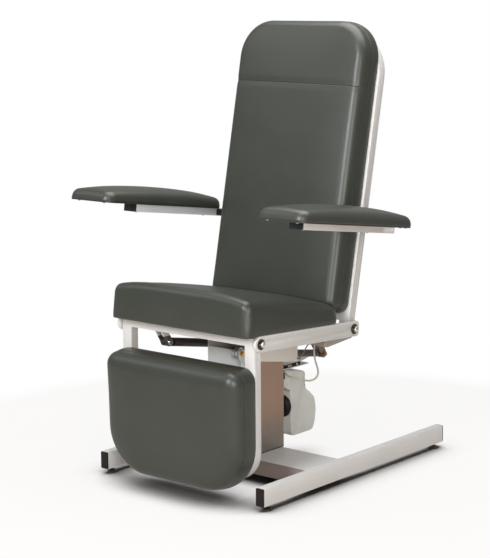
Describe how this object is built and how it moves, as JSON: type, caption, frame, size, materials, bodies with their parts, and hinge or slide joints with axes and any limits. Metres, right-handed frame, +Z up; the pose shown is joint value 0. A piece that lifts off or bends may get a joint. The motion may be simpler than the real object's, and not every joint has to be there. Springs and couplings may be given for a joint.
{
  "type": "phlebotomy chair",
  "caption": "Power height phlebotomy chair with padded seat, reclining back, swing-up legrest and two wide lift-up arm pads on a two-rail floor frame.",
  "frame": {"origin": "on the floor under the middle of the overall box", "axes": "+Z up, -Y the way the sitter faces, +X the sitter's left"},
  "size_m": [0.9766, 1.0201, 1.452],
  "materials": {
    "vinyl": "smooth dark grey-green upholstery vinyl, satin",
    "paint": "light warm grey enamel, semi gloss",
    "cream_paint": "off-white enamel, semi gloss",
    "black_plastic": "black moulded plastic",
    "black_paint": "black enamel",
    "gasket_rubber": "dark rubber",
    "zinc": "zinc plated steel",
    "brushed_metal": "brushed steel",
    "light_plastic": "light grey moulded plastic",
    "grey_plastic": "warm grey moulded plastic",
    "lead_plastic": "light grey lead jacket",
    "thin_lead_plastic": "brown lead jacket",
    "bright_metal": "bright plated steel",
    "board_wood": "plain plywood",
    "dark_board": "dark painted board"
  },
  "bodies": {
    "base": {"base_rail_left": "paint", "base_rail_right": "paint", "cap_front_left": "black_plastic", "cap_front_right": "black_plastic", "cap_rear_left": "black_plastic", "cap_rear_right": "black_plastic", "crossmember": "paint", "column_gasket": "gasket_rubber", "mast": "zinc", "mast_glides": "black_plastic"},
    "foot_fl": {"foot_front_left": "zinc"},
    "foot_fr": {"foot_front_right": "zinc"},
    "foot_rl": {"foot_rear_left": "zinc"},
    "foot_rr": {"foot_rear_right": "zinc"},
    "lift": {"column_sleeve": "brushed_metal", "sleeve_glides": "light_plastic", "lift_spindle": "zinc", "lifting_head": "cream_paint", "strut_bracket": "black_paint", "notch_pin": "bright_metal", "seat_bar_left": "paint", "seat_bar_right": "paint", "cross_tube_front": "paint", "cross_tube_rear": "paint", "bolt_front_left": "bright_metal", "bolt_front_right": "bright_metal", "bolt_rear_left": "bright_metal", "bolt_rear_right": "bright_metal", "seat_board": "board_wood", "seat_cushion": "vinyl", "drive_bracket": "paint", "drive_housing": "light_plastic", "motor_cap": "black_plastic", "connector_block": "black_plastic", "control_box": "grey_plastic", "control_box_end": "black_plastic", "lead_gland": "black_plastic", "lead": "lead_plastic", "thin_lead": "thin_lead_plastic"},
    "legrest": {"legrest_frame": "paint", "legrest_pin": "bright_metal", "legrest_board": "board_wood", "legrest_pad": "vinyl"},
    "leg_strut": {"leg_cylinder": "black_paint"},
    "leg_strut_rod": {"leg_rod": "bright_metal"},
    "back": {"back_frame": "paint", "back_pin": "bright_metal", "back_board": "board_wood", "back_pad": "vinyl", "arm_block_left": "black_plastic", "arm_block_right": "black_plastic"},
    "back_strut": {"back_cylinder": "black_paint"},
    "back_strut_rod": {"back_rod": "bright_metal"},
    "arm_left": {"arm_tube_left": "paint", "arm_board_left": "dark_board", "arm_pad_left": "vinyl"},
    "arm_right": {"arm_tube_right": "paint", "arm_board_right": "dark_board", "arm_pad_right": "vinyl"}
  },
  "joints": [
    {"name": "lift", "type": "slide", "parent": "base", "child": "lift", "axis": [0, 0, 1], "range_m": [0, 0.2]},
    {"name": "back_recline", "type": "hinge", "parent": "lift", "child": "back", "pos_m": [0, 0.07422, 0.47406], "axis": [-1, 0, 0], "range_deg": [0, 45]},
    {"name": "legrest_raise", "type": "hinge", "parent": "lift", "child": "legrest", "pos_m": [0, -0.393, 0.501], "axis": [-1, 0, 0], "range_deg": [0, 80]},
    {"name": "leg_strut_turn", "type": "hinge", "parent": "legrest", "child": "leg_strut", "pos_m": [-0.12, -0.369, 0.453], "axis": [-1, 0, 0], "range_deg": [-82, 1]},
    {"name": "leg_strut_slide", "type": "slide", "parent": "leg_strut", "child": "leg_strut_rod", "axis": [0, 0.9835, -0.1808], "range_m": [0, 0.0705]},
    {"name": "back_strut_turn", "type": "hinge", "parent": "back", "child": "back_strut", "pos_m": [0.064, 0.18922, 0.34506], "axis": [-1, 0, 0], "range_deg": [-33.5, 1]},
    {"name": "back_strut_slide", "type": "slide", "parent": "back_strut", "child": "back_strut_rod", "axis": [0, -0.9855, 0.1698], "range_m": [-0.107, 0]},
    {"name": "arm_left_lift", "type": "hinge", "parent": "back", "child": "arm_left", "pos_m": [0, 0.14028, 0.79585], "axis": [-1, 0, 0], "range_deg": [0, 90]},
    {"name": "arm_right_lift", "type": "hinge", "parent": "back", "child": "arm_right", "pos_m": [0, 0.14028, 0.79585], "axis": [-1, 0, 0], "range_deg": [0, 90]},
    {"name": "foot_fl_screw", "type": "slide", "parent": "base", "child": "foot_fl", "axis": [0, 0, 1], "range_m": [-0.008, 0.006]},
    {"name": "foot_fr_screw", "type": "slide", "parent": "base", "child": "foot_fr", "axis": [0, 0, 1], "range_m": [-0.008, 0.006]},
    {"name": "foot_rl_screw", "type": "slide", "parent": "base", "child": "foot_rl", "axis": [0, 0, 1], "range_m": [-0.008, 0.006]},
    {"name": "foot_rr_screw", "type": "slide", "parent": "base", "child": "foot_rr", "axis": [0, 0, 1], "range_m": [-0.008, 0.006]}
  ],
  "couplings": [
    {"joint": "leg_strut_turn", "follows": "legrest_raise", "ratio": -1.009},
    {"joint": "leg_strut_slide", "follows": "legrest_raise", "m_per_rad": 0.04974},
    {"joint": "back_strut_turn", "follows": "back_recline", "ratio": -0.729},
    {"joint": "back_strut_slide", "follows": "back_recline", "m_per_rad": -0.13414}
  ]
}
